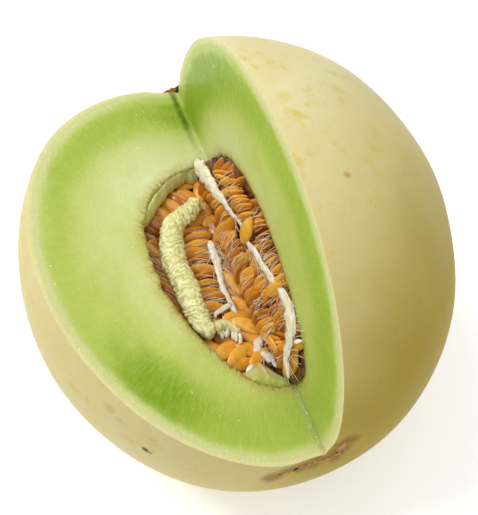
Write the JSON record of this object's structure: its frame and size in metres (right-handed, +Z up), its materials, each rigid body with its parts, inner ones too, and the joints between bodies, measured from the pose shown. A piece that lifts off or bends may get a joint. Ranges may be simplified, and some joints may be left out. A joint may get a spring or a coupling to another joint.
{
  "type": "whole honeydew melon with one wedge cut out",
  "caption": "Round honeydew melon with a wedge cut out, showing green flesh, a seed cavity filled with seeds and pulp, and a loose seed cord lying on the seeds.",
  "frame": {"origin": "under the middle of the whole fruit, on the surface that it rests on", "axes": "+X along the fruit's long axis from the stem scar to the blossom scar, +Z up; the notch opens upwards and towards -Y"},
  "size_m": [0.1538, 0.15, 0.1469],
  "materials": {
    "rind_and_flesh": "smooth waxy cream rind; moist green to cream flesh on the cut faces",
    "seeds_and_pulp": "wet orange-tan seeds among pale pulp strands",
    "seed_cord": "moist pale yellow-green spongy tissue",
    "corky_scar": "dry brown cork"
  },
  "bodies": {
    "root": {"melon": "rind_and_flesh", "seed_bed": "seeds_and_pulp", "seed_cord": "seed_cord"}
  },
  "joints": []
}
